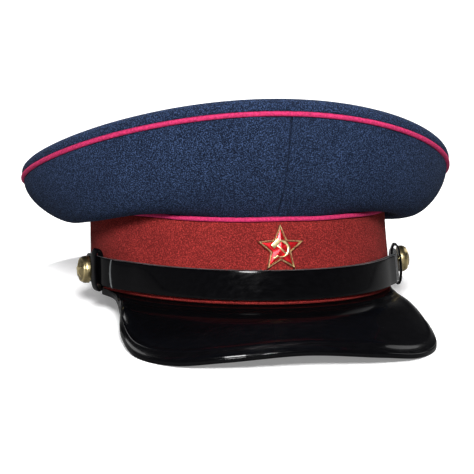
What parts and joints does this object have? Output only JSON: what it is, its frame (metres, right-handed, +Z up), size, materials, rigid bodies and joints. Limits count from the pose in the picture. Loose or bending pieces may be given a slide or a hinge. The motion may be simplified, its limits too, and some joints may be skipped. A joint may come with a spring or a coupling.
{
  "type": "peaked cap",
  "caption": "Peaked cap with a wide navy cloth crown, piped seams, red cloth band, black patent peak and chin strap, side buttons and an enamelled star badge.",
  "frame": {"origin": "below the middle of the cap, on the surface that it lies on", "axes": "+Z up, the front of the cap faces -Y, and +X is the right-hand side seen from the front"},
  "size_m": [0.2588, 0.2954, 0.1399],
  "materials": {
    "navy_cloth": "milled wool, matt, finely speckled",
    "crimson_piping": "cloth-covered cord, matt",
    "red_cloth": "milled wool, matt, brick red",
    "sweat_leather": "smooth leather, satin",
    "patent_leather": "black patent leather, high gloss",
    "brass": "polished, a little worn",
    "red_enamel": "translucent red enamel, glossy"
  },
  "bodies": {
    "root": {"crown_top": "navy_cloth", "quarter_front_right": "navy_cloth", "quarter_back_right": "navy_cloth", "quarter_back_left": "navy_cloth", "quarter_front_left": "navy_cloth", "piping_band": "crimson_piping", "piping_rim": "crimson_piping", "band": "red_cloth", "sweatband": "sweat_leather", "peak": "patent_leather", "strap_under": "patent_leather", "strap_over": "patent_leather", "keeper_left": "patent_leather", "keeper_right": "patent_leather", "button_left": "brass", "button_right": "brass", "badge_star": "brass", "badge_enamel": "red_enamel", "badge_emblem": "brass"}
  },
  "joints": []
}
